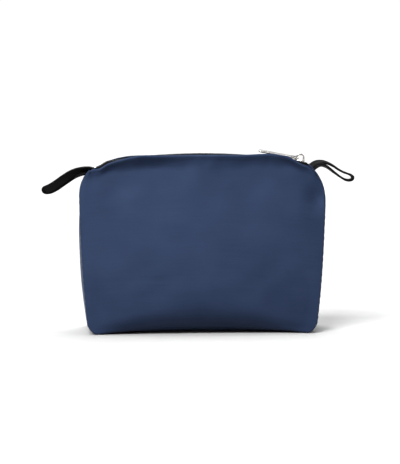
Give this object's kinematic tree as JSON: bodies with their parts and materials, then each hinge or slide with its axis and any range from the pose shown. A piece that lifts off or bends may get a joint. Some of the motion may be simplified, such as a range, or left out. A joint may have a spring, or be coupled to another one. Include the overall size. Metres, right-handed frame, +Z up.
{
  "type": "travel document pouch",
  "caption": "Flat-bottomed zipped fabric pouch for travel documents, with crowned walls, an arched coil zip, a metal slider and long pull, and a ribbon loop at each end.",
  "frame": {"origin": "centre of the underside of the base", "axes": "+X along the zip towards its closed end, +Y from the front wall to the back wall, +Z up"},
  "size_m": [0.3132, 0.0982, 0.1802],
  "materials": {
    "shell_cloth": "satin",
    "lining_cloth": "matte",
    "zip_tape": "matte",
    "coil_plastic": "satin",
    "ribbon": "satin",
    "zip_metal": "polished nickel"
  },
  "bodies": {
    "pouch": {"base_panel": "shell_cloth", "base_lining": "lining_cloth", "left_gusset": "shell_cloth", "right_gusset": "shell_cloth", "left_gusset_lining": "lining_cloth", "right_gusset_lining": "lining_cloth", "left_zip_end": "zip_tape", "right_zip_end": "zip_tape", "left_coil_end": "coil_plastic", "right_coil_end": "coil_plastic", "top_stops": "zip_metal", "bottom_stop": "zip_metal"},
    "front_wall": {"front_panel": "shell_cloth", "front_lining": "lining_cloth", "front_zip_tape": "zip_tape", "front_zip_coil": "coil_plastic"},
    "back_wall": {"back_panel": "shell_cloth", "back_lining": "lining_cloth", "back_zip_tape": "zip_tape", "back_zip_coil": "coil_plastic"},
    "pocket": {"pocket_panel": "lining_cloth", "pocket_binding": "ribbon"},
    "slider": {"slider_body": "zip_metal", "slider_bridge": "zip_metal"},
    "pull": {"pull_tab": "zip_metal"},
    "left_loop": {"left_loop": "ribbon"},
    "right_loop": {"right_loop": "ribbon"}
  },
  "joints": [
    {"name": "slider_travel", "type": "hinge", "parent": "pouch", "child": "slider", "pos_m": [0, 0, -0.4242], "axis": [0, -1, 0], "range_deg": [0, 17.7], "deforming": ["front_zip_coil", "back_zip_coil", "left_coil_end", "right_coil_end"]},
    {"name": "pull_swing", "type": "hinge", "parent": "slider", "child": "pull", "pos_m": [0.0965, 0, 0.1719], "axis": [0, 1, 0], "range_deg": [0, 150]},
    {"name": "front_wall_open", "type": "hinge", "parent": "pouch", "child": "front_wall", "pos_m": [0, -0.039, 0.0012], "axis": [1, 0, 0], "range_deg": [0, 10]},
    {"name": "back_wall_open", "type": "hinge", "parent": "pouch", "child": "back_wall", "pos_m": [0, 0.039, 0.0012], "axis": [-1, 0, 0], "range_deg": [0, 10]},
    {"name": "pocket_gape", "type": "hinge", "parent": "back_wall", "child": "pocket", "pos_m": [0, 0.038, 0.0135], "axis": [1, 0, 0], "range_deg": [0, 15]},
    {"name": "left_loop_flex", "type": "hinge", "parent": "pouch", "child": "left_loop", "pos_m": [-0.1115, 0, 0.1594], "axis": [0, 1, 0], "range_deg": [-10, 25], "stiffness_Nm_per_rad": 0.01},
    {"name": "right_loop_flex", "type": "hinge", "parent": "pouch", "child": "right_loop", "pos_m": [0.1105, 0, 0.1647], "axis": [0, -1, 0], "range_deg": [-25, 20], "stiffness_Nm_per_rad": 0.01}
  ]
}
